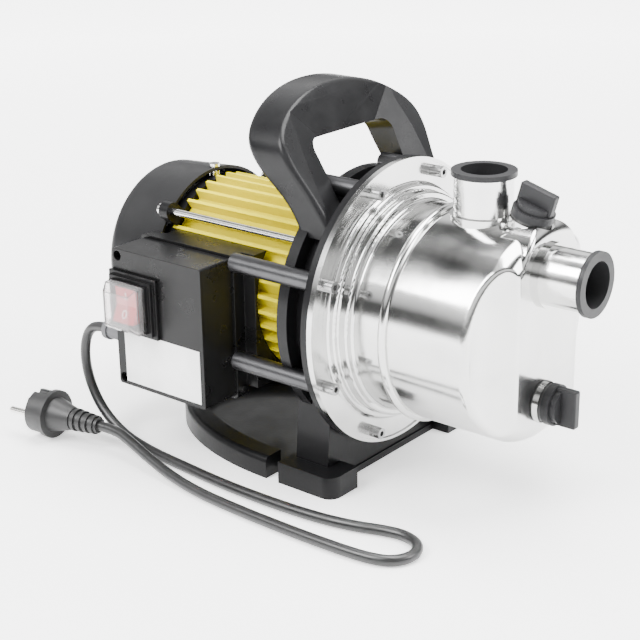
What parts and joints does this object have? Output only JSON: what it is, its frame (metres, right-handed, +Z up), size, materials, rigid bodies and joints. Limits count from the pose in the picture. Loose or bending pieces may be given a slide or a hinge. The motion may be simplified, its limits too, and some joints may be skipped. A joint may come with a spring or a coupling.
{
  "type": "garden pump",
  "caption": "Self-priming garden jet pump: stainless casing with suction and discharge necks, finned motor with fan, switch box, carrying handle and mains lead.",
  "frame": {"origin": "underside of the foot, on the floor below the shaft axis, in the middle of the pedestal under the bracket", "axes": "+X along the shaft from the motor towards the suction neck, +Z up along the discharge neck, terminal box on the -Y side"},
  "size_m": [0.4104, 0.2437, 0.2665],
  "materials": {
    "steel": "polished stainless steel",
    "dark_insert": "satin dark grey plastic",
    "black_plastic": "moulded black plastic with a soft sheen",
    "black_paint": "satin black paint on die-cast aluminium",
    "sleeve_grey": "dark grey coated steel tube",
    "yellow_paint": "glossy yellow paint on extruded aluminium",
    "rubber": "black rubber",
    "bright_steel": "plain bright steel",
    "shaft_steel": "ground steel",
    "laminations": "stacked sheet steel",
    "copper": "varnished copper winding",
    "noryl": "glass-filled plastic",
    "white_plastic": "white plastic",
    "plate_white": "bare white plate",
    "rocker_red": "translucent red plastic",
    "clear_cover": "clear soft plastic",
    "pin_metal": "nickel-plated brass"
  },
  "bodies": {
    "housing": {"pump_casing": "steel", "suction_neck": "steel", "discharge_neck": "steel", "suction_insert": "dark_insert", "discharge_insert": "dark_insert", "casing_gasket": "rubber", "clamp_ring": "steel", "seal_plate": "bright_steel", "mechanical_seal": "rubber", "diffuser": "noryl", "venturi_tube": "noryl", "jet_nozzle": "noryl", "flange_bolts": "bright_steel", "spacer_sleeves": "sleeve_grey", "front_bracket": "black_paint", "front_bearing": "shaft_steel", "rear_bearing": "shaft_steel", "motor_housing": "yellow_paint", "stator_core": "laminations", "stator_windings": "copper", "rear_shield": "black_paint", "tie_rods": "bright_steel", "fan_cover": "black_plastic", "cover_screws": "bright_steel", "box_base": "black_plastic", "box_cover": "black_plastic", "box_screws": "bright_steel", "capacitor": "white_plastic", "terminal_block": "white_plastic", "rating_plate": "plate_white", "switch_frame": "black_plastic", "splash_cover": "clear_cover", "cable_gland": "rubber", "power_cord": "rubber", "cord_sleeve": "rubber", "plug_body": "rubber", "plug_pins": "pin_metal", "handle": "black_plastic", "handle_screws": "bright_steel", "foot_base": "black_plastic"},
    "rotor": {"shaft": "shaft_steel", "rotor_core": "laminations", "impeller": "noryl", "impeller_nut": "bright_steel", "seal_face": "rubber", "cooling_fan": "noryl", "front_bearing_inner": "shaft_steel", "rear_bearing_inner": "shaft_steel"},
    "rocker": {"rocker": "rocker_red"},
    "filler_plug": {"filler_plug": "dark_insert"},
    "filler_seal": {"filler_seal": "rubber"},
    "drain_plug": {"drain_plug": "dark_insert"},
    "drain_seal": {"drain_seal": "rubber"}
  },
  "joints": [
    {"name": "rotor_spin", "type": "hinge", "parent": "housing", "child": "rotor", "pos_m": [0, 0, 0.12], "axis": [1, 0, 0], "continuous": true},
    {"name": "rocker_tip", "type": "hinge", "parent": "housing", "child": "rocker", "pos_m": [-0.1205, -0.111, 0.1165], "axis": [1, 0, 0], "range_deg": [0, 18]},
    {"name": "filler_rise", "type": "slide", "parent": "housing", "child": "filler_seal", "axis": [0.2756, 0, 0.9613], "range_m": [0, 0.00907]},
    {"name": "filler_turn", "type": "hinge", "parent": "filler_seal", "child": "filler_plug", "pos_m": [0.13, 0, 0.1965], "axis": [0.2756, 0, 0.9613], "range_deg": [0, 1800]},
    {"name": "drain_draw", "type": "slide", "parent": "housing", "child": "drain_seal", "axis": [1, 0, 0], "range_m": [0, 0.00907]},
    {"name": "drain_turn", "type": "hinge", "parent": "drain_seal", "child": "drain_plug", "pos_m": [0.148, 0, 0.075], "axis": [1, 0, 0], "range_deg": [0, 1800]}
  ],
  "couplings": [
    {"joint": "filler_rise", "follows": "filler_turn", "m_per_rad": 0.00028871},
    {"joint": "drain_draw", "follows": "drain_turn", "m_per_rad": 0.00028871}
  ]
}
